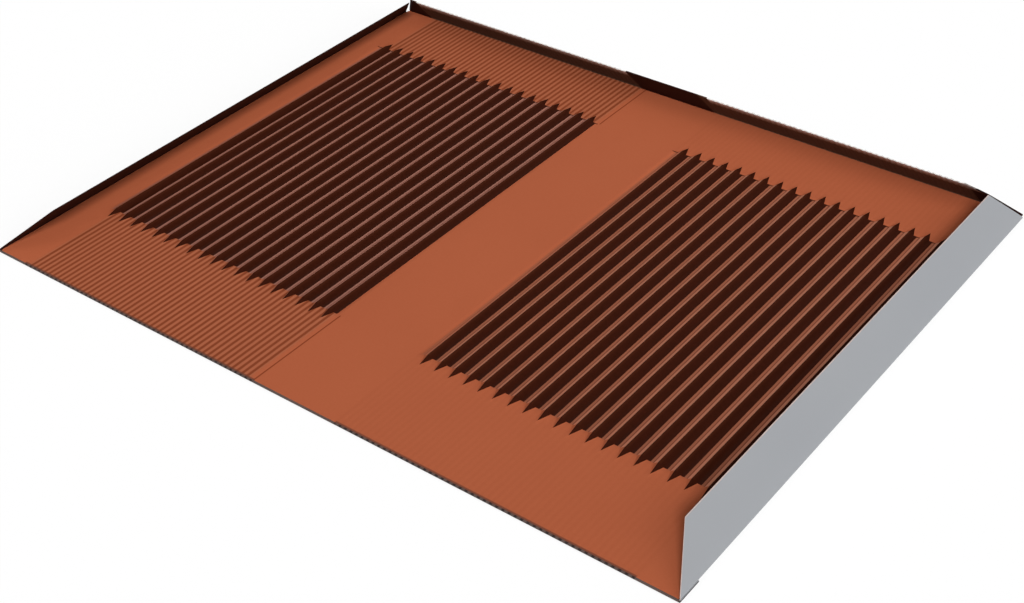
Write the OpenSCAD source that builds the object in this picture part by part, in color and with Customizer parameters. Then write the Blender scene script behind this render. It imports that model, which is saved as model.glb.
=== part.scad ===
// Pressed and folded sheet-metal roof tile with two banks of long narrow ribs.
// The tile lies face up: width along X, slope of the roof along Y (eaves at -Y), face towards +Z.
// The frame's origin is under the middle of the tile, at the level of the hem's underside.

/* [Tile] */
// Width of the tile over its side folds
tile_w = 420; // [410:1:460]
// Depth of the tile from the hemmed front edge to the back fold
tile_d = 330.6; // [325:0.2:360]
// Thickness of the sheet
sheet_t = 0.6; // [0.5:0.05:0.7]

/* [Folded edges] */
// Inside radius of the folds at the sides and the back
fold_r = 0.4; // [0.3:0.1:1]
// Flat length of each folded flange, from the end of its bend to its cut edge
flange_l = 21.2; // [16:0.1:23]
// Angle that the side flanges lean in at, above the plate
side_lean = 45; // [40:1:60]
// Angle that the back flange leans in at, above the plate
back_lean = 50; // [40:1:60]
// Length at the front over which a side flange rises to its full height
taper_l = 27.3; // [20:0.1:40]
// Distance of the back flange's mitred left end from the corner's diagonal
mitre_gap = 1.2; // [0.8:0.1:3]
// Distance from the right side at which the cut of the back flange's right end starts
cut_x = 0.9; // [0.8:0.1:3]
// Distance from the right side to the knee of that cut
knee_x = 17.7; // [16:0.1:20]
// Distance in plan from the back fold to that knee
knee_y = 10.1; // [8:0.1:12]
// Slant of the cut beyond its knee: millimetres along the flange for each one in plan from the fold
rim_slant = 2.93; // [1.7:0.01:4]
// Distance in plan from the back fold to the back end of a side flange, at the side's fold
side_end = 2.4; // [1:0.1:4]
// Slant of that end: millimetres along the flange for each one in plan from the side's fold
side_slant = 0.885; // [0.8:0.005:1]
// Depth of the hem folded under the front edge
hem_l = 14.5; // [10:0.5:20]
// Air gap inside the hem
hem_gap = 0.2; // [0.2:0.1:0.6]

/* [Rib banks] */
// Number of ribs in a bank
rib_n = 19; // [3:1:19]
// Distance from one rib to the next
rib_pitch = 8.617; // [8.3:0.001:8.7]
// Width of a rib at the plate's level
rib_w = 4.8; // [4:0.1:5.4]
// Height of a rib's crest above the plate
rib_h = 1.8; // [1:0.1:2.5]
// Distance from a rib's crest to the bottom line of the groove on its right
groove_x = 4.4; // [4.1:0.1:4.5]
// Depth of the groove between two ribs, below the plate
groove_h = 0.3; // [0.1:0.1:0.6]
// Length of the pointed end of a rib
tip_l = 6.8; // [4:0.1:10]
// Length in plan of the ramp that closes a groove's end
ramp_l = 0.5; // [0.4:0.1:1.2]
// Distance from the left fold to the first rib's crest line
bank_x = 22.5; // [21.5:0.1:24]
// Distance from one bank to the next
bank_step = 218.25; // [217:0.05:220]
// Distance from the front edge to the ribs' front tips
bank_y = 54.3; // [50:0.1:60]
// Length of a rib from tip to tip
rib_l = 234.5; // [200:0.5:236]

/* [Hidden] */
face_colour = "#a85a3a";
bank_n = 2;
// Flat margin between the ribs' tips and the edge of a pressed panel
panel_rim = 2;
// Overlap that cuts solids cleanly
over = 1;
// Smoothness of the folds
fold_fn = 48;
fold_outer = fold_r + sheet_t;
hem_r = hem_gap / 2 + sheet_t;
// Level of the plate's upper face
plate_z = 2 * hem_r;
// Straight part of the plate, between the bends
plate_w = tile_w - 2 * fold_outer;
plate_d = tile_d - fold_outer - hem_r;
// A rib's feet and the groove on its left, measured from its crest line
foot_x = rib_w / 2;
groove_left_x = groove_x - rib_pitch;
// Outer feet of a bank's first and last groove
panel_x0 = -rib_pitch + foot_x;
panel_x1 = rib_n * rib_pitch - foot_x;

// A point of a bank's surface near its front end (side 0) or, mirrored, its back end (side 1)
function at_end(side, x, y, z) = [x, side == 0 ? y : rib_l - y, z];

// Per rib and end: tip, left foot, crest end, right foot
function rib_points(side) = [
    for (i = [0 : rib_n - 1])
        let (x = i * rib_pitch)
            each [
                at_end(side, x, 0, 0),
                at_end(side, x - foot_x, tip_l, 0),
                at_end(side, x, tip_l, rib_h),
                at_end(side, x + foot_x, tip_l, 0)
            ]
];

// Per groove and end: the end of its bottom line
function groove_points(side) = [
    for (j = [0 : rib_n])
        at_end(side, j * rib_pitch + groove_left_x, tip_l + ramp_l, -groove_h)
];

// Per end: the panel's corner and the outer foot's end on the left, then on the right
function rim_points(side) = [
    for (x = [panel_x0, panel_x1])
        each [at_end(side, x, -panel_rim, 0), at_end(side, x, tip_l, 0)]
];

per_end = 4 * rib_n + (rib_n + 1) + 4;
upper_points = [
    for (side = [0, 1])
        each concat(rib_points(side), groove_points(side), rim_points(side))
];
function tip(side, i) = side * per_end + 4 * i;
function left(side, i) = tip(side, i) + 1;
function crest(side, i) = tip(side, i) + 2;
function right(side, i) = tip(side, i) + 3;
function groove(side, j) = side * per_end + 4 * rib_n + j;
function corner(side, x) = side * per_end + 5 * rib_n + 1 + 2 * x;
// The feet on either side of groove j
function foot_before(side, j) = j == 0 ? corner(side, 0) + 1 : right(side, j - 1);
function foot_after(side, j) = j == rib_n ? corner(side, 1) + 1 : left(side, j);

function turned(face) = [face[2], face[1], face[0]];
function quad(a, b, c, d) = [[a, b, c], [a, c, d]];

// Flat of one end, up to the saw line of tips and feet
function flat_facets(side) = concat(
    [for (i = [0 : rib_n - 2]) each concat(
        [[corner(side, 0), tip(side, i + 1), tip(side, i)]],
        quad(tip(side, i), tip(side, i + 1), left(side, i + 1), right(side, i))
    )],
    quad(corner(side, 0), corner(side, 1), right(side, rib_n - 1), tip(side, rib_n - 1)),
    quad(corner(side, 0), tip(side, 0), left(side, 0), corner(side, 0) + 1),
    [[corner(side, 1), corner(side, 1) + 1, right(side, rib_n - 1)]]
);

// Hips of the ribs and ramps of the grooves at one end
function end_facets(side) = concat(
    [for (i = [0 : rib_n - 1]) each [
        [tip(side, i), crest(side, i), left(side, i)],
        [tip(side, i), right(side, i), crest(side, i)]
    ]],
    [for (j = [0 : rib_n]) [foot_before(side, j), foot_after(side, j), groove(side, j)]]
);

// Long facets between the ends: both flanks of each rib and both slopes of each groove
long_facets = concat(
    [for (i = [0 : rib_n - 1]) each concat(
        quad(left(0, i), crest(0, i), crest(1, i), left(1, i)),
        quad(crest(0, i), right(0, i), right(1, i), crest(1, i))
    )],
    [for (j = [0 : rib_n]) each concat(
        quad(foot_before(0, j), groove(0, j), groove(1, j), foot_before(1, j)),
        quad(groove(0, j), foot_after(0, j), foot_after(1, j), groove(1, j))
    )]
);

// Seen from above the front and the long facets run anticlockwise, the mirrored back ones clockwise
upper_facets = concat(
    [for (face = concat(flat_facets(0), end_facets(0), long_facets)) turned(face)],
    flat_facets(1),
    end_facets(1)
);
panel_outline = [
    corner(0, 0), corner(0, 1), corner(0, 1) + 1, corner(1, 1) + 1,
    corner(1, 1), corner(1, 0), corner(1, 0) + 1, corner(0, 0) + 1
];

// One pressed bank as a closed sheet: its upper face, the same face a sheet's thickness lower, and the rim
module pressed_panel() {
    count = len(upper_points);
    lower_points = [for (p = upper_points) p - [0, 0, sheet_t]];
    lower_facets = [for (face = upper_facets) turned([for (k = face) k + count])];
    walls = [
        for (k = [0 : len(panel_outline) - 1])
            let (a = panel_outline[k], b = panel_outline[(k + 1) % len(panel_outline)])
                each quad(b, a, a + count, b + count)
    ];
    polyhedron(concat(upper_points, lower_points), concat(upper_facets, lower_facets, walls));
}

// Places a bank, whose own origin is the first rib's front tip, on the plate
module at_bank(k) {
    translate([-tile_w / 2 + bank_x + k * bank_step, -tile_d / 2 + bank_y, 0]) children();
}

// The flat sheet between the folds, with a window for each pressed panel
module flat_plate() {
    difference() {
        translate([-plate_w / 2, -tile_d / 2 + hem_r, -sheet_t])
            cube([plate_w, plate_d, sheet_t]);
        for (k = [0 : bank_n - 1])
            at_bank(k)
                translate([panel_x0, -panel_rim, -sheet_t - over])
                    cube([panel_x1 - panel_x0, rib_l + 2 * panel_rim, sheet_t + 2 * over]);
    }
}

// A quarter or more of a ring, from straight below its centre round to the angle given
module bend_section(inner_r, end_angle) {
    reach = 3 * (inner_r + sheet_t);
    difference() {
        intersection() {
            circle(r = inner_r + sheet_t, $fn = fold_fn);
            translate([0, -reach]) square([reach, 2 * reach]);
            rotate(end_angle) translate([-reach, -reach]) square([2 * reach, reach]);
        }
        circle(r = inner_r, $fn = fold_fn);
    }
}

// Section of a folded flange; the fold's outermost point is at u = 0, the plate's upper face at v = 0
module flange_section(lean) {
    translate([-fold_outer, fold_r]) {
        bend_section(fold_r, 90 - lean);
        rotate(90 - lean) translate([fold_r, 0]) square([sheet_t, flange_l]);
    }
}

// A flange along the right side, trimmed in plan by the front taper and the slanting back end
module right_flange() {
    reach = flange_l + fold_outer;
    taper_reach = flange_l * cos(side_lean) + fold_outer / 2;
    taper_slope = taper_l / taper_reach;
    front = -tile_d / 2;
    back = tile_d / 2;
    intersection() {
        translate([tile_w / 2, back, 0]) rotate([90, 0, 0])
            linear_extrude(height = tile_d) flange_section(side_lean);
        translate([tile_w / 2, 0, -reach])
            linear_extrude(height = 2 * reach)
                polygon([
                    [over, front],
                    [0, front],
                    [-reach, front + taper_slope * reach],
                    [-reach, back - side_end - side_slant * reach],
                    [over, back - side_end + side_slant * over]
                ]);
    }
}

// The flange along the back, mitred at its left end and cut back further, in two slants, at its right end
module back_flange() {
    reach = flange_l + fold_outer;
    left_x = -tile_w / 2 + mitre_gap / sqrt(2);
    right_x = tile_w / 2;
    intersection() {
        translate([-tile_w / 2, tile_d / 2, 0]) rotate([90, 0, 90])
            linear_extrude(height = tile_w) flange_section(back_lean);
        translate([0, tile_d / 2, -reach])
            linear_extrude(height = 2 * reach)
                polygon([
                    [left_x - over, over],
                    [left_x + reach, -reach],
                    [right_x - knee_x - rim_slant * (reach - knee_y), -reach],
                    [right_x - knee_x, -knee_y],
                    [right_x - cut_x, 0],
                    [right_x - cut_x, over]
                ]);
    }
}

// The front edge folded under and pressed almost shut, as wide as the tile over its side folds
module front_hem() {
    translate([tile_w / 2, -tile_d / 2, -hem_r]) rotate([90, 0, -90])
        linear_extrude(height = tile_w) {
            translate([-hem_r, 0]) bend_section(hem_gap / 2, 90);
            translate([-hem_l, -hem_r]) square([hem_l - hem_r, sheet_t]);
        }
}

module tile_sheet() {
    color(face_colour)
        translate([0, 0, plate_z]) {
            flat_plate();
            for (k = [0 : bank_n - 1]) at_bank(k) pressed_panel();
            front_hem();
            right_flange();
            mirror([1, 0, 0]) right_flange();
            back_flange();
        }
}

tile_sheet();
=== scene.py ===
# %% [markdown]
# # A roof tile pressed and folded from one sheet
# The tile is a single sheet of coated metal. Two banks of long ribs are pressed into its plate, the front
# edge is hemmed under, and flanges at the left, the right and the back are folded up and lean in over the
# plate. This lesson makes the sheet as one grid surface with a thickness, gives its faces seven finishes, and
# lights it plainly.

# %% Load the packed model as the fixed frame
import math
import bpy
import numpy as np
from mathutils import Matrix, Vector


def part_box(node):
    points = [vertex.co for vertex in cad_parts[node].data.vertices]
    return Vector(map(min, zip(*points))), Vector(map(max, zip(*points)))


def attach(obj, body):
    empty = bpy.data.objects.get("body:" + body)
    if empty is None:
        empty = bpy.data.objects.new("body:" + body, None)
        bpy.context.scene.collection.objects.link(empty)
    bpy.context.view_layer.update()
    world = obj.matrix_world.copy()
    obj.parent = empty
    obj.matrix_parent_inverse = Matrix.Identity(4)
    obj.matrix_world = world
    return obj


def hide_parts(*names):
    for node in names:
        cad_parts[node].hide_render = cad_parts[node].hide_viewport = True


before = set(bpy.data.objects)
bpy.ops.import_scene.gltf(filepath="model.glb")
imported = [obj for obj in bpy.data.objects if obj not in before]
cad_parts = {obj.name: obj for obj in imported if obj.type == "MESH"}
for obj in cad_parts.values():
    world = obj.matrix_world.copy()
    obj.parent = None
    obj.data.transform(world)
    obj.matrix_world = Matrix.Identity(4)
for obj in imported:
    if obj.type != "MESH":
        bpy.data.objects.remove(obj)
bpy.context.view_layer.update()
MM = 0.001

# %% [markdown]
# ## Sizes
# Every size is the real one, in millimetres, and the same as in the part's source. The mesh is worked out in
# millimetres, with the upper face of the plate at height zero, and moved to its place at the very end.

# %% Sizes of the sheet and of its folds
half_width, half_depth = (np.array(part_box("tile_sheet")[1]) / MM)[:2]
sheet = 0.6
fold_inner, fold_outer = 0.4, 1.0
flange_flat = 21.2
side_lean, back_lean = math.radians(45), math.radians(50)
taper = 27.3
mitre_gap = 1.2 / math.sqrt(2)
side_end, side_slant = 2.4, 0.885
cut_inward = np.array([0, 10.1, 20.1])
cut_from_side = np.array([0.9, 17.7, 47.0])
hem_inner, hem_outer = 0.1, 0.7
hem_depth = 14.5
plate_height = 2 * hem_outer
plate_edge = half_width - fold_outer
plate_front, plate_back = -half_depth + hem_outer, half_depth - fold_outer
print("half width and depth", half_width.round(2), half_depth.round(2))

# %% Sizes of the rib banks
rib_count, rib_pitch = 19, 8.617
rib_foot, rib_height = 2.4, 1.8
groove_at, groove_depth = 4.4, 0.3
groove_foot = rib_pitch - rib_foot
tip_length, ramp = 6.8, 0.5
bank_starts = np.array([-187.5, 30.75])
tips_from_front, rib_length = 54.3, 234.5
tips_front = tips_from_front - half_depth
tips_back = tips_front + rib_length
print("ribs run from", tips_front.round(2), "to", tips_back.round(2))

# %% Sizes of the fine lines
line_pitch, line_depth, rim_wave = 3.302, 0.06, 0.35
line_starts, line_counts = np.array([-188.502, 26.396]), np.array([49, 50])
rim_spans = np.array([[-190.2, -30.5], [24.5, 183.0]])
edge_spans = ((-190, -25), (26, 189))
lined_span, last_line, faint_span = (-187, -28.2), -25.3, (25, 190)
# Where the painted shade of the front bend begins
bend_shade_from = -163.6
print("fine lines from", line_starts, "to", (line_starts + line_pitch * (line_counts - 1)).round(1))

# %% [markdown]
# ## The section of a fold
# A press brake bends the sheet over a small radius. Seen along the fold, the sheet is a straight plate, an
# arc and a straight flange. The inner and the outer face follow arcs about the same centre, so a point of
# the sheet is given by its place along the section and by the face that it is on. Both faces are kept as
# arrays.

# %% Arc and flange as one section
def fold_section(lean, arc_steps, run):
    """Points of a fold, from the plate outwards, for the face and for the back of the sheet.
    Arc: centre plus radius times (cos a, sin a), with a from straight down to a right angle less the lean.
    Flange: the arc's last point plus the distance run along the arc's last tangent.
    Returned as distance beyond the plate's edge and height above its upper face, for both radii."""
    angle = np.linspace(-math.pi / 2, math.pi / 2 - lean, arc_steps)
    tangent = np.array([[-math.sin(angle[-1])], [math.cos(angle[-1])]])
    sides = []
    for radius in (fold_inner, fold_outer):
        arc = np.stack([radius * np.cos(angle), fold_inner + radius * np.sin(angle)])
        sides.append(np.concatenate([arc, arc[:, -1:] + tangent * run], axis=1))
    return np.array(sides)

edge_line, rim_strip = 0.5, 6.2
side_run = np.array([5, 10, 15, flange_flat - edge_line, flange_flat])
back_run = np.array([5, 10, flange_flat - rim_strip, 18, flange_flat])
side_fold = fold_section(side_lean, 8, side_run)
back_fold = fold_section(back_lean, 8, back_run)
print("side flange rises", side_fold[:, 1].max().round(2), "mm, back flange", back_fold[:, 1].max().round(2))

# %% [markdown]
# ## Stations across the sheet
# The grid's columns run up the slope. They stand close together where the section changes, on the feet,
# crests and grooves of the ribs and on the fine lines, and far apart on the flats. A column beside a rib
# also knows how far from that rib's crest it lies, because near the rib's pointed end the columns close in
# on the crest.

# %% Columns of the plate
least_gap = 0.15
rib_offsets = np.array([-2.55, -2.25, -0.3, 0.0, 0.2, 2.25, 2.55, 4.2, 4.4, 4.6])
lead_offsets = np.array([-6.3, -6.1, -4.417, -4.217, -4.017])
tail_offsets = np.array([6.1, 6.3])
line_offsets = np.array([-0.8, 0.0, 0.8, line_pitch / 2])
flat_stations = np.array([-plate_edge, -206, -202, -198, -14, -2, 10, 22, 196, 199, 202, 206, plate_edge])
crests = bank_starts[:, None] + rib_pitch * np.arange(rib_count)
rib_stations = [(crests[..., None] + rib_offsets).ravel(), (crests[:, :1] + lead_offsets).ravel(),
                (crests[:, -1:] + tail_offsets).ravel(), flat_stations]
rib_stations = np.concatenate(rib_stations)
line_stations = [(first + line_pitch * np.arange(count)[:, None] + line_offsets).ravel()
                 for first, count in zip(line_starts, line_counts)]
line_stations = np.concatenate(line_stations)
apart = np.abs(line_stations[:, None] - rib_stations).min(1) > least_gap
plate_x = np.sort(np.concatenate([rib_stations, line_stations[apart]]))
print(len(plate_x), "columns on the plate")

# %% Which rib a column belongs to, and which line
left_of_crest, bank_reach = 2.6, 6.35
bank_of = (plate_x > 0).astype(int)
from_first = plate_x - bank_starts[bank_of]
rib_of = np.clip(np.floor((from_first + left_of_crest) / rib_pitch), 0, rib_count - 1)
offset_of = from_first - rib_of * rib_pitch
in_bank = np.abs(offset_of) < bank_reach

def line_share(x):
    """One on a fine line and nothing halfway to the next: half of one plus the cosine of the phase.
    It is nothing outside the two spans of lines."""
    bank = (x > 0).astype(int)
    phase = (x - line_starts[bank]) / line_pitch
    inside = (phase > -0.5) & (phase < line_counts[bank] - 0.5)
    return np.where(inside, 0.5 + 0.5 * np.cos(2 * math.pi * phase), 0)

def on_span(x):
    """True where the back flange is corrugated."""
    return ((x[..., None] > rim_spans[:, 0]) & (x[..., None] < rim_spans[:, 1])).any(-1)

print(int(in_bank.sum()), "columns lie in a bank")

# %% Rows of the plate
tip_steps = np.array([0, 0.05, 0.3, 0.65, 1.0]) * tip_length
end_steps = np.concatenate([[-2.0], tip_steps, [tip_length + ramp]])
strip_steps = np.array([0, 0.8, 3.0])
plate_y = np.concatenate([
    plate_front + strip_steps, [tips_front - 5], tips_front + end_steps, [-60, 0, 60],
    tips_back - end_steps[::-1], [tips_back + 5], plate_back - strip_steps[::-1]])
in_strip = (plate_y < tips_front - 4) & (plate_y > plate_front + 1)
in_strip |= (plate_y > tips_back + 4) & (plate_y < plate_back - 0.5)
print(len(plate_y), "rows on the plate")

# %% [markdown]
# ## The relief of the ribs and of the fine lines
# Seen along the slope, a rib is a low roof with a rounded crest, and a shallow groove lies between two ribs.
# At its ends a rib narrows and sinks together, in proportion, until it is a point on the plate. So the relief
# is a profile across, times a share that depends on the place along the rib. In front of the ribs and behind
# them the sheet has fine shallow lines instead.

# %% Profiles across and shares along
def softened(sharp, u, window=0.4):
    """The sharp profile averaged over a short window, which rounds each of its corners."""
    spread = np.linspace(-window / 2, window / 2, 9)
    return sharp(u[..., None] + spread).mean(-1)

def ridge(u):
    """Height falls evenly from the crest to nothing at the feet."""
    return rib_height * np.clip(1 - np.abs(u) / rib_foot, 0, None)

def groove(u):
    """Depth grows evenly from either foot to the bottom line. The groove left of a rib counts as well."""
    v = np.where(u < -rib_foot, u + rib_pitch, u)
    left = (v - rib_foot) / (groove_at - rib_foot)
    right = (groove_foot - v) / (groove_foot - groove_at)
    return -groove_depth * np.clip(np.minimum(left, right), 0, None)

from_tip = np.minimum(plate_y - tips_front, tips_back - plate_y)
rib_share = np.clip(from_tip / tip_length, 0, 1)
groove_share = np.clip((from_tip - tip_length) / ramp, 0, 1)
relief = rib_share[:, None] * softened(ridge, offset_of) + groove_share[:, None] * softened(groove, offset_of)
relief = relief * in_bank - line_depth * in_strip[:, None] * line_share(plate_x)
print("relief from", relief.min().round(2), "to", relief.max().round(2), "mm")

# %% [markdown]
# ## One grid for the whole sheet
# The blank is a cross: the plate in the middle, the hem below it, the back flange above it and a side flange
# on either hand. All of it is one grid with its four corner blocks left out. The flanges' ends are cut at a
# slant in plan, so their rows and columns are sheared towards those cuts. The hem is as wide as the tile over
# its folds. The fine lines go on up the back flange as a corrugation that grows towards its rim.

# %% Sections across and along the whole sheet
hem_angle = np.linspace(1.5 * math.pi, 0.5 * math.pi, 9)
hem_run = np.linspace(-half_depth + hem_depth, plate_front, 3)[:-1]

def across(side):
    """x and height of each column: left flange, plate, right flange; side 0 is the face, 1 the back."""
    reach, rise = side_fold[side][:, 1:]
    x = np.concatenate([-(plate_edge + reach[::-1]), plate_x, plate_edge + reach])
    z = np.concatenate([rise[::-1], np.full(len(plate_x), -sheet * side), rise])
    return x, z

def along(side):
    """y and height of each row: hem from its inner edge round to the plate, plate, back flange."""
    radius = (hem_outer, hem_inner)[side]
    bend_y = plate_front + radius * np.cos(hem_angle)
    bend_z = -hem_outer + radius * np.sin(hem_angle)
    reach, rise = back_fold[side][:, 1:]
    y = np.concatenate([hem_run, bend_y[:-1], plate_y, plate_back + reach])
    z = np.concatenate([
        np.full(len(hem_run), bend_z[0]), bend_z[:-1], np.full(len(plate_y), -sheet * side), rise])
    return y, z + sheet * side

side_columns = side_fold.shape[2] - 1
hem_rows = len(hem_run) + len(hem_angle) - 1
columns = slice(side_columns, side_columns + len(plate_x))
rows = slice(hem_rows, hem_rows + len(plate_y))
print("grid", len(along(0)[0]), "by", len(across(0)[0]))

# %% Shear the flanges towards their cut ends
shear_run = 4

def sheared(value, start, limit, target):
    """Past start, value moves so that what was at limit comes to target, in proportion to the way there."""
    share = np.clip((value - start) / (limit - start), 0, 1)
    return value + share * (target - limit)

def cut_side_flanges(X, Y):
    """Rows of a side flange end at a long slant in front and at a slant of about 45 degrees at the back."""
    slope = taper / (flange_flat * math.cos(side_lean) + fold_outer / 2)
    for part in (slice(0, side_columns), slice(columns.stop, None)):
        inward = half_width - np.abs(X[:, part])
        ends = sheared(Y[:, part], tips_back, plate_back, half_depth - side_end - side_slant * inward)
        Y[:, part] = -sheared(-ends, -tips_front, -plate_front, half_depth - slope * inward)

def cut_back_flange(X, Y):
    """Columns of the back flange end at a mitre on the left and at a cut with a knee on the right."""
    inward = half_depth - Y
    mitre = half_width - mitre_gap - inward
    cut = half_width - np.interp(inward, cut_inward, cut_from_side)
    end = np.where(X > 0, cut, mitre)
    X[:] = np.sign(X) * sheared(np.abs(X), end - shear_run, plate_edge, end)

print("the right cut lies", cut_from_side, "mm from the side,", cut_inward, "mm in from the back")

# %% Both sides of the sheet as grids of points
rib_reach, least_share = 3.4, 0.02

def grid_side(side):
    """Points of one side of the sheet, one array of rows by columns for each of x, y and z.
    Height is the section across plus the section along plus the relief. Near a rib's tip its columns close
    in on the crest, in proportion. The rim's corrugation moves square to the flange and grows along it."""
    (x, zx), (y, zy) = across(side), along(side)
    X, Y = np.meshgrid(x, y)
    Z = zx[None, :] + zy[:, None]
    Z[rows, columns] += relief
    shrink = np.where(from_tip < -1, 1, np.clip(rib_share, least_share, 1))
    on_rib = in_bank & (np.abs(offset_of) < rib_reach)
    X[rows, columns] += np.where(on_rib, (shrink[:, None] - 1) * offset_of, 0)
    cut_side_flanges(X, Y)
    X[:rows.start, [columns.start, columns.stop - 1]] = -half_width, half_width
    back = slice(rows.stop, None)
    cut_back_flange(X[back], Y[back])
    growth = np.concatenate([np.zeros(len(y) - len(back_run) - rows.stop), back_run / flange_flat])
    wave = rim_wave * growth[:, None] * line_share(X[back]) * on_span(X[back])
    Y[back] -= wave * math.sin(back_lean)
    Z[back] -= wave * math.cos(back_lean)
    return np.stack([X, Y, Z], -1)

face_grid, back_grid = grid_side(0), grid_side(1)
top = max(face_grid[..., 2].max(), back_grid[..., 2].max())
print("highest point of the sheet", top.round(2), "mm above the plate")

# %% [markdown]
# ## From the grid to a closed mesh
# Every cell of the cross gives one quad on the face and one on the back. Where a cell has no neighbour, the
# sheet was cut, and a narrow wall joins the two sides. The walls close the mesh, and they are the cut edges
# of a real sheet.

# %% Cells and walls
row_count, column_count = face_grid.shape[:2]
off_plate = np.ones(row_count - 1, bool)
off_plate[rows.start:rows.stop - 1] = False
beside = np.ones(column_count - 1, bool)
beside[columns.start:columns.stop - 1] = False
cells = ~(off_plate[:, None] & beside)
index = np.arange(row_count * column_count).reshape(row_count, column_count)
other = row_count * column_count
i, j = np.nonzero(cells)
face_quads = np.stack([index[i, j], index[i, j + 1], index[i + 1, j + 1], index[i + 1, j]], -1)
back_quads = face_quads[:, ::-1] + other
padded = np.pad(cells, 1)
# A step to the neighbour, and the cell's two corners on that side, in the order that faces the wall outwards
steps = [((0, -1), (0, 0), (1, 0)), ((0, 1), (1, 1), (0, 1)),
         ((-1, 0), (0, 1), (0, 0)), ((1, 0), (1, 0), (1, 1))]
walls, wall_cells = [], []
for (step_i, step_j), first, second in steps:
    bare = ~padded[1 + i + step_i, 1 + j + step_j]
    a = index[i[bare] + first[0], j[bare] + first[1]]
    b = index[i[bare] + second[0], j[bare] + second[1]]
    walls.append(np.stack([a, b, b + other, a + other], -1))
    wall_cells.append(np.stack([i[bare], j[bare]], -1))
walls, wall_cells = np.concatenate(walls), np.concatenate(wall_cells)
print(len(face_quads), "cells,", len(walls), "walls")

# %% [markdown]
# ## Which finish goes where
# The face is terracotta. The right-hand slope of every rib, down to the bottom of the groove beside it,
# is deep brown. The inner faces of the flanges are painted darker still as painted shade, and the hem is
# painted dark slate as painted shade. The back is pale grey, with a pale line of bare metal and painted
# highlight along the free edges of the side flanges, and the back flange's rim is rubbed bare on its
# corrugations.

# %% Finish of each cell
finishes = ["terracotta_coat", "dark_rib_slopes", "flange_painted_shade", "hem_painted_shade", "grey_back_coat",
            "bare_edge_highlight", "rubbed_rim"]
FACE, DARK_SLOPE, FLANGE_SHADE, HEM_SHADE, BACK, BARE_EDGE_HIGHLIGHT, RIM = range(len(finishes))
middle = (offset_of[:-1] + offset_of[1:]) / 2
same_rib = (rib_of[:-1] == rib_of[1:]) & in_bank[:-1] & in_bank[1:]
dark_column = same_rib & (middle > -0.3) & (middle < groove_at)
rib_row = np.maximum(rib_share[:-1], rib_share[1:]) > 0
groove_row = np.maximum(groove_share[:-1], groove_share[1:]) > 0
in_span = on_span((face_grid[-1, :-1, 0] + face_grid[-1, 1:, 0]) / 2)

face_finish = np.full(cells.shape, FACE)
plate_cells = face_finish[rows.start:rows.stop - 1, columns.start:columns.stop - 1]
plate_cells[rib_row[:, None] & (dark_column & (middle < rib_foot + 0.2))] = DARK_SLOPE
plate_cells[groove_row[:, None] & dark_column] = DARK_SLOPE
# Painted shade: the inner faces of the flanges are painted dark, nearly black, for the shade they lie in
face_finish[:, :side_columns - 2] = FLANGE_SHADE
face_finish[:, columns.stop + 1:] = FLANGE_SHADE
face_finish[rows.stop + 1:] = FLANGE_SHADE
face_finish[-2:, in_span] = RIM
# Painted shade: the hem is painted dark slate
face_finish[:rows.start] = HEM_SHADE

back_finish = np.full(cells.shape, BACK)
# Bare metal and a painted highlight: a thin pale line along the free edges of the side flanges
back_finish[:, [0, -1]] = BARE_EDGE_HIGHLIGHT
back_finish[rows.start, :side_columns] = BARE_EDGE_HIGHLIGHT
back_finish[rows.start, columns.stop - 1:] = BARE_EDGE_HIGHLIGHT

# Painted shade on the cut edges: the hem's are dark slate, the flanges' as dark as their inner faces
wall_finish = np.where(wall_cells[:, 0] < rows.start, HEM_SHADE, FLANGE_SHADE)
wall_finish[(wall_cells[:, 0] == row_count - 2) & in_span[wall_cells[:, 1]]] = RIM
print("dark cells", int((face_finish == DARK_SLOPE).sum()), "rim cells", int((face_finish == RIM).sum()))

# %% Build the mesh
points = np.concatenate([face_grid.reshape(-1, 3), back_grid.reshape(-1, 3)])
quads = np.concatenate([face_quads, back_quads, walls])
finish = np.concatenate([face_finish[i, j], back_finish[i, j], wall_finish])
used, quads = np.unique(quads, return_inverse=True)
quads = quads.reshape(-1, 4)
points = (points[used] + [0, 0, plate_height]) * MM
mesh = bpy.data.meshes.new("folded_sheet")
mesh.from_pydata(points.tolist(), [], quads.tolist())
tile = bpy.data.objects.new("folded_sheet", mesh)
scene = bpy.context.scene
scene.collection.objects.link(tile)
print(len(points), "points,", 2 * len(quads), "triangles")

# %% [markdown]
# ## Shader maths in Python
# A finish is a formula over the surface. Wrapping a socket in a small class lets the formula be written as
# ordinary sums and products, each of which adds the Math node that it needs.

# %% The wrapper of a socket
class Value:
    """A socket that can be added, multiplied and compared, each time through one Math node."""
    def __init__(self, graph, socket):
        self.graph, self.socket = graph, socket
    def math(self, operation, *others):
        return self.graph.node("ShaderNodeMath", {"operation": operation}, self, *others)
    def __add__(self, other): return self.math("ADD", other)
    def __sub__(self, other): return self.math("SUBTRACT", other)
    def __mul__(self, other): return self.math("MULTIPLY", other)
    def __truediv__(self, other): return self.math("DIVIDE", other)
    def __rsub__(self, other): return self * -1.0 + other
    __radd__, __rmul__ = __add__, __mul__
    def absolute(self): return self.math("ABSOLUTE")
    def fraction(self): return self.math("FRACT")
    def clamped(self): return self.math("MAXIMUM", 0.0).math("MINIMUM", 1.0)
    # Shares from 0 to 1 that rise or fall evenly over the width of the blur, and are a half at the edge
    def above(self, edge, blur): return ((self - (edge - blur / 2)) / blur).clamped()
    def below(self, edge, blur): return 1 - self.above(edge, blur)
    def between(self, low, high, blur): return self.above(low, blur) * self.below(high, blur)
    def near(self, place, half, blur): return (self - place).absolute().below(half, blur)

print("a value knows", [name for name in vars(Value) if not name.startswith("_")])

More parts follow.
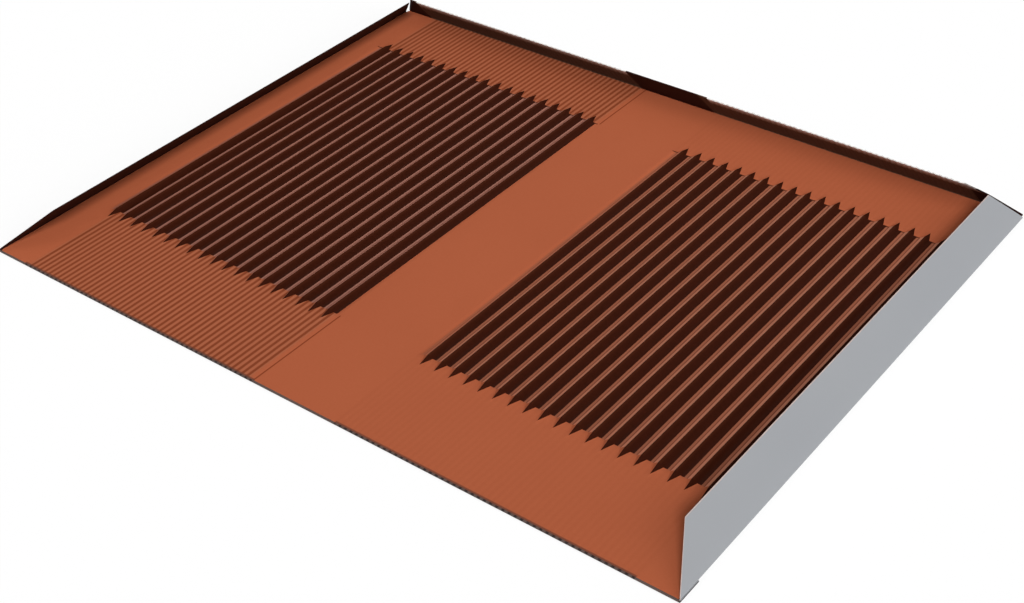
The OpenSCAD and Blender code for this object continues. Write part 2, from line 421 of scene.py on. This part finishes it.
# %% The node tree and its one node-making method
class Graph:
    """A node tree to which nodes are added by type, settings and socket values."""
    def __init__(self, tree):
        self.nodes, self.links = tree.nodes, tree.links

    def made(self, kind, settings, *values, **named):
        """Adds a node, sets its settings, then gives its sockets values or links, by order or by name."""
        node = self.nodes.new(kind)
        for key, value in settings.items():
            setattr(node, key, value)
        wanted = list(zip([s for s in node.inputs if s.enabled], values))
        wanted += [(node.inputs[key.replace("_", " ")], value) for key, value in named.items()]
        for socket, value in wanted:
            self.give(socket, value)
        return node

    def give(self, socket, value):
        """Links the socket to a value's own socket, or sets it to a number or a colour."""
        if isinstance(value, Value):
            self.links.new(value.socket, socket)
        else:
            socket.default_value = value

    def node(self, kind, settings, *values, **named):
        """The first output in use of a new node."""
        made = self.made(kind, settings, *values, **named)
        return Value(self, next(s for s in made.outputs if s.enabled))

    def output(self, kind, socket, *values, **named):
        """The output of a new node that has the name given."""
        return Value(self, self.made(kind, {}, *values, **named).outputs[socket])

    def seen(self):
        """One for rays from the camera, a mirror or glass, so that they meet the white studio."""
        rays = self.made("ShaderNodeLightPath", {})
        kinds = ("Is Camera Ray", "Is Glossy Ray", "Is Transmission Ray")
        camera, glossy, glass = (Value(self, rays.outputs[kind]) for kind in kinds)
        return camera.math("MAXIMUM", glossy).math("MAXIMUM", glass)

print("a graph knows", [name for name in vars(Graph) if not name.startswith("_")])

# %% One material and its colours
class Finish(Graph):
    """One material: its nodes, and the Principled shader at its end."""
    def __init__(self, name, **constants):
        self.material = bpy.data.materials.new(name)
        self.material.use_nodes = True
        super().__init__(self.material.node_tree)
        self.shader = self.nodes["Principled BSDF"]
        self.feeds(**constants)
        self.place = self.output("ShaderNodeTexCoord", "Object")
        split = self.made("ShaderNodeSeparateXYZ", {}, self.place)
        self.x, self.y, self.z = (Value(self, split.outputs[k]) / MM for k in "XYZ")

    def feeds(self, **sockets):
        """Gives sockets of the Principled shader, by name, values or links."""
        for name, value in sockets.items():
            self.give(self.shader.inputs[name.replace("_", " ")], value)

    def noise(self, scale, detail=2.0):
        """A cloudy share from 0 to 1; the scale is about the number of clouds in a metre."""
        return self.output("ShaderNodeTexNoise", "Fac", Vector=self.place, Scale=scale, Detail=detail)

    def mix(self, share, first, second):
        """Colour that goes from first to second as share goes from 0 to 1."""
        return self.node("ShaderNodeMix", {"data_type": "RGBA"}, share, first, second)

    def bump(self, height, strength, distance):
        """Turns a height field into a tilt of the surface's normal."""
        bump = self.output("ShaderNodeBump", "Normal", Strength=strength, Distance=distance, Height=height)
        self.feeds(Normal=bump)

def srgb(red, green, blue):
    """A colour written as on a screen, from 0 to 255, made linear as shaders need it."""
    share = np.array([red, green, blue]) / 255
    linear = np.where(share <= 0.04045, share / 12.92, ((share + 0.055) / 1.055) ** 2.4)
    return (*linear.tolist(), 1.0)

print("a colour of 128 is", round(srgb(128, 128, 128)[0], 3), "for the shaders")

# %% [markdown]
# ## The terracotta face
# The coating is a dull, slightly mottled terracotta. Fine lines run along the slope in front of and
# behind the left bank: they are shallow grooves, and their dark colour is painted shade. The front edge is
# painted darker where it bends down into the hem, as the shade of the bend. Between two ribs the strip that
# faces left is painted in lit and shaded tones: the groove's flank is painted darker as shade, a thin dark
# line of painted shade lies in the crease at the rib's foot, and the rib's left slope is painted paler as
# lit. A dark tick of painted shade closes each groove at its back end. A bank's first rib, with no
# neighbour on its left, has them at half strength.

# %% Where a point lies on the pattern of a bank
def rib_place(finish, bank):
    """Millimetres to the right of the next crest on the left: the fraction of the pitches from the first."""
    return ((finish.x - float(bank_starts[bank])) / rib_pitch).fraction() * rib_pitch

def bank_share(finish, bank, beyond=groove_at):
    """One where the ribs of a bank have their full section, as far beyond the last crest as given."""
    left = float(bank_starts[bank]) - rib_pitch + rib_foot
    right = float(bank_starts[bank]) + (rib_count - 1) * rib_pitch + beyond
    along_ribs = finish.y.between(float(tips_front) + tip_length, float(tips_back) - tip_length, 0.6)
    return finish.x.between(left, right, 0.2) * along_ribs

def line_place(finish, shift=0.5):
    """Share of the way from one fine line to the next, plus a shift: a half is on a line as it stands."""
    return ((finish.x - float(line_starts[0])) / line_pitch + shift).fraction()

def on_edge(finish):
    """One over the two spans where the folded front edge is worked."""
    first, second = edge_spans
    return finish.x.between(*first, 0.2) + finish.x.between(*second, 0.2)

print("pattern helpers ready")

# %% Terracotta coat
coat = Finish("terracotta_coat", Roughness=0.6, Specular_IOR_Level=0.04)
mottle, grain = coat.noise(14.0, 3.0), coat.noise(900.0)
colour = coat.mix(mottle.above(0.5, 0.6), srgb(168, 89, 59), srgb(172, 92, 61))
colour = coat.mix(grain.above(0.5, 0.5) * 0.3, colour, srgb(162, 83, 53))
beyond = 1 - coat.y.between(float(tips_front) + tip_length, float(tips_back) - tip_length, 0.3)
line_half, line_blur = 0.8, 0.5
# Painted shade: the fine lines are shallow grooves, given by the bump, and their dark colour is the shade in
# them, strong on the left bank and faint on the right
scored = (line_place(coat) * line_pitch).near(line_pitch / 2, line_half, line_blur)
faint = scored * coat.x.between(*faint_span, 0.2) * 0.07
lined = coat.x.between(*lined_span, 0.2) * beyond
colour = coat.mix(lined * 0.6, colour, srgb(160, 95, 67))
scored = scored * lined + coat.x.near(last_line, 0.4, 0.3)
scored = (scored + faint) * beyond
colour = coat.mix(scored * 0.76, colour, srgb(112, 46, 20))
# Painted shade: the front edge is darker over the lined spans, where it bends down into the hem
colour = coat.mix(coat.y.below(bend_shade_from, 0.5) * on_edge(coat) * 0.75, colour, srgb(88, 56, 46))
# Painted light and shade: in each bank a darker groove flank as shade and a paler rib slope as lit
lit_and_shaded_strips = ((srgb(156, 107, 92), srgb(174, 115, 98)), (srgb(148, 88, 65), srgb(204, 132, 104)))
ramp_line = coat.y.near(float(tips_back) - tip_length - ramp / 2, 0.4, 0.2)
for bank, (shaded_flank, slope) in enumerate(lit_and_shaded_strips):
    place = rib_place(coat, bank)
    share = bank_share(coat, bank) * (coat.x.above(float(bank_starts[bank]), 0.2) * 0.5 + 0.5)
    colour = coat.mix(place.between(groove_at, groove_foot, 0.3) * share, colour, shaded_flank)
    colour = coat.mix(place.above(groove_foot + 0.1, 0.3) * share, colour, slope)
    # Painted shade: a thin dark line in the crease at each rib's left foot
    colour = coat.mix(place.near(groove_foot - 0.25, 0.25, 0.3) * share * 0.6, colour, srgb(90, 40, 25))
    # Painted shade: a dark tick at the back end of each groove
    groove_end_shade = place.between(rib_foot, groove_foot, 0.3) * bank_share(coat, bank, groove_foot) * ramp_line
    colour = coat.mix(groove_end_shade, colour, srgb(70, 30, 16))
coat.feeds(Base_Color=colour, Roughness=0.56 + grain * 0.08)
coat.bump(grain * 0.15 - scored, 0.3, 0.0001)
print("terracotta coat done")

# %% [markdown]
# ## The dark slopes and the painted shade
# The right-hand slopes of the ribs are deep brown, with a painted highlight a little lighter along the
# crests. The inner faces of the flanges are painted dark as the shade they lie in: brown over the
# corrugated spans and nearly black between them. The hem is painted dark slate as shade, darker still
# at its ends and dotted where the fine lines go round it.

# %% Dark rib slopes
dark_slopes = Finish("dark_rib_slopes", Roughness=0.5, Specular_IOR_Level=0.03)
weave = dark_slopes.noise(500.0)
colour = dark_slopes.mix(weave.above(0.5, 0.5), srgb(42, 13, 3), srgb(48, 16, 6))
for bank in (0, 1):
    # Painted highlight: a little lighter along the crests
    crest_highlight = rib_place(dark_slopes, bank).below(0.8, 0.8) * bank_share(dark_slopes, bank)
    colour = dark_slopes.mix(crest_highlight, colour, srgb(56, 23, 10))
dark_slopes.feeds(Base_Color=colour, Roughness=0.46 + weave * 0.1)
dark_slopes.bump(weave, 0.2, 0.00005)
print("solar coat done")

# %% Flange shade, painted
# Painted shade: the flanges' inner faces and cut edges are painted dark, lighter brown over the corrugated
# spans
inner = Finish("flange_painted_shade", Roughness=0.5, Specular_IOR_Level=0.03)
weave = inner.noise(500.0)
rise = inner.z - plate_height
# The ends of the brown spans lean: x moves by this share of the rise
left_lean, right_lean = 0.12, 0.23
brown = (inner.x + rise * left_lean).between(-190, -28.5, 0.8)
brown = brown + (inner.x + rise * right_lean).between(22, 186, 0.8)
ticks = line_place(inner).near(0.5, 0.2, 0.2)
colour = inner.mix(weave.above(0.5, 0.5), srgb(35, 14, 11), srgb(41, 17, 14))
spans = inner.mix(ticks * 0.5, srgb(78, 58, 47), srgb(64, 46, 37))
inner.feeds(Base_Color=inner.mix(brown, colour, spans), Roughness=0.46 + weave * 0.1)
inner.bump(weave, 0.2, 0.00005)
print("flange coat done")

# %% Hem, painted as shade
# Painted shade: the hem is dark slate, darker at its ends, with dark dots where the fine lines go round it
hem = Finish("hem_painted_shade", Roughness=0.5, Specular_IOR_Level=0.1)
dots = line_place(hem).near(0.5, 0.22, 0.15) * on_edge(hem)
dots = dots + hem.x.absolute().above(float(half_width) - 0.2, 0.1)
cloud = hem.noise(120.0)
colour = hem.mix(cloud.above(0.5, 0.5), srgb(72, 60, 56), srgb(84, 70, 65))
hem.feeds(Base_Color=hem.mix(dots, colour, srgb(38, 30, 29)), Roughness=0.45 + cloud * 0.1)
hem.bump(cloud - dots, 0.3, 0.0001)
print("hem coat done")

# %% [markdown]
# ## The grey back and the bare metal
# The back of the sheet has a pale grey primer with a faint cloudiness. Along the free edges of the side
# flanges a thin pale line is painted for the bare cut edge and the light it catches, and the crests of
# the corrugated rim are rubbed to bright metal.

# %% Grey back coat
back = Finish("grey_back_coat", Roughness=0.5, Specular_IOR_Level=0.15)
cloud, fine = back.noise(9.0, 3.0), back.noise(700.0)
back.feeds(Base_Color=back.mix(cloud.above(0.5, 0.7), srgb(137, 139, 143), srgb(142, 144, 147)))
back.feeds(Roughness=0.45 + fine * 0.1)
back.bump(fine, 0.2, 0.00005)
print("grey back coat done")

# %% Bare edge with a painted highlight, and rubbed rim
# Bare metal and painted highlight: a pale line for the cut edge of the side flanges and the light on it
bare = Finish("bare_edge_highlight", Roughness=0.4, Metallic=0.1)
shear = bare.noise(350.0)
bare.feeds(Base_Color=bare.mix(shear.above(0.5, 0.5), srgb(162, 144, 137), srgb(178, 161, 154)))
bare.feeds(Roughness=0.35 + shear * 0.2)
bare.bump(shear, 0.3, 0.00005)
rim = Finish("rubbed_rim", Roughness=0.4, Metallic=0.1)
worn = rim.noise(420.0)
crest = line_place(rim, 0.0).near(0.5, 0.3, 0.2)
worn_from, worn_over = 12.8, 4.0
rise = (rim.z - (plate_height + worn_from)) / worn_over
worn = rise.clamped() * (crest * 0.25 + 0.75 + (worn - 0.5) * 0.4)
rim.feeds(Base_Color=rim.mix(worn, srgb(64, 50, 42), srgb(214, 212, 209)))
print("bare metal done")

# %% Put the finishes on the sheet
sharp_angle = math.radians(32)
for name in finishes:
    mesh.materials.append(bpy.data.materials[name])
mesh.polygons.foreach_set("material_index", finish.astype(np.int32))
mesh.polygons.foreach_set("use_smooth", np.ones(len(quads), bool))
mesh.update()
mesh.set_sharp_from_angle(angle=sharp_angle)
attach(tile, "root")
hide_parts("tile_sheet")
print("faces per finish", dict(zip(finishes, np.bincount(finish, minlength=len(finishes)).tolist())))

# %% [markdown]
# ## Floor, light and camera
# The tile lies on a plain white floor under a faint even sky. The main lamp is far away at the front right,
# fairly low, so that its light enters below the left flange. A wide lamp fills in from the right, and a weak
# one from the upper left lights the ribs' left slopes. The camera looks down at the front right corner
# through a slightly long lens.

# %% Floor
floor_half, floor_drop, floor_glow = 4.0, 0.00005, 0.6
corners = np.array([[-1, -1, 0], [1, -1, 0], [1, 1, 0], [-1, 1, 0]]) * floor_half - [0, 0, floor_drop]
floor_mesh = bpy.data.meshes.new("floor")
floor_mesh.from_pydata(corners.tolist(), [], [(0, 1, 2, 3)])
floor = bpy.data.objects.new("floor", floor_mesh)
scene.collection.objects.link(floor)
paper = Finish("white_floor", Base_Color=(1, 1, 1, 1), Roughness=1.0, Specular_IOR_Level=0.0)
glow = paper.output("ShaderNodeEmission", "Emission", Strength=1.0)
lit = Value(paper, paper.shader.outputs["BSDF"])
mixed = paper.node("ShaderNodeMixShader", {}, paper.seen() * floor_glow, lit, glow)
paper.give(paper.nodes["Material Output"].inputs["Surface"], mixed)
floor_mesh.materials.append(paper.material)
print("floor done")

# %% Light
def direction(azimuth, elevation):
    """Unit vector towards an azimuth and elevation in degrees; azimuth 0 is -Y, and it turns towards +X."""
    a, e = math.radians(azimuth), math.radians(elevation)
    return np.array([math.sin(a) * math.cos(e), -math.cos(a) * math.cos(e), math.sin(e)])

scene.view_settings.view_transform = "Standard"
world = bpy.data.worlds.new("studio")
scene.world = world
world.use_nodes = True
sky = Graph(world.node_tree)
sky_strength = 0.135
sky.give(sky.nodes["Background"].inputs["Color"], (1, 1, 1, 1))
sky.give(sky.nodes["Background"].inputs["Strength"], sky.seen() * (1 - sky_strength) + sky_strength)
# Name, azimuth, elevation, strength and width in degrees
lamps = (("main_lamp", 36, 40.5, 2.91, 20), ("fill_lamp", 82, 26, 1.35, 60), ("top_lamp", -80, 50, 0.3, 40))
for name, azimuth, elevation, energy, angle in lamps:
    lamp_data = bpy.data.lights.new(name, "SUN")
    lamp_data.energy, lamp_data.angle = energy, math.radians(angle)
    lamp = bpy.data.objects.new(name, lamp_data)
    lamp.rotation_euler = Vector(direction(azimuth, elevation)).to_track_quat("Z", "Y").to_euler()
    scene.collection.objects.link(lamp)
print("light done")

# %% Camera
backward = direction(38.681, 36.820)
roll = math.radians(-2.183)
level = np.cross([0, 0, 1], backward)
level /= np.linalg.norm(level)
right = level * math.cos(roll) + np.cross(backward, level) * math.sin(roll)
aim, distance = np.array([36.43, -46.77, plate_height]) * MM, 0.80541
eye = aim + backward * distance
camera_data = bpy.data.cameras.new("camera")
camera_data.lens, camera_data.sensor_width, camera_data.clip_start = 57.54, 36.0, 0.01
camera = bpy.data.objects.new("camera", camera_data)
matrix = np.eye(4)
matrix[:3] = np.stack([right, np.cross(backward, right), backward, eye], -1)
camera.matrix_world = Matrix(matrix.tolist())
scene.collection.objects.link(camera)
scene.camera = camera
print("camera at", eye.round(4))
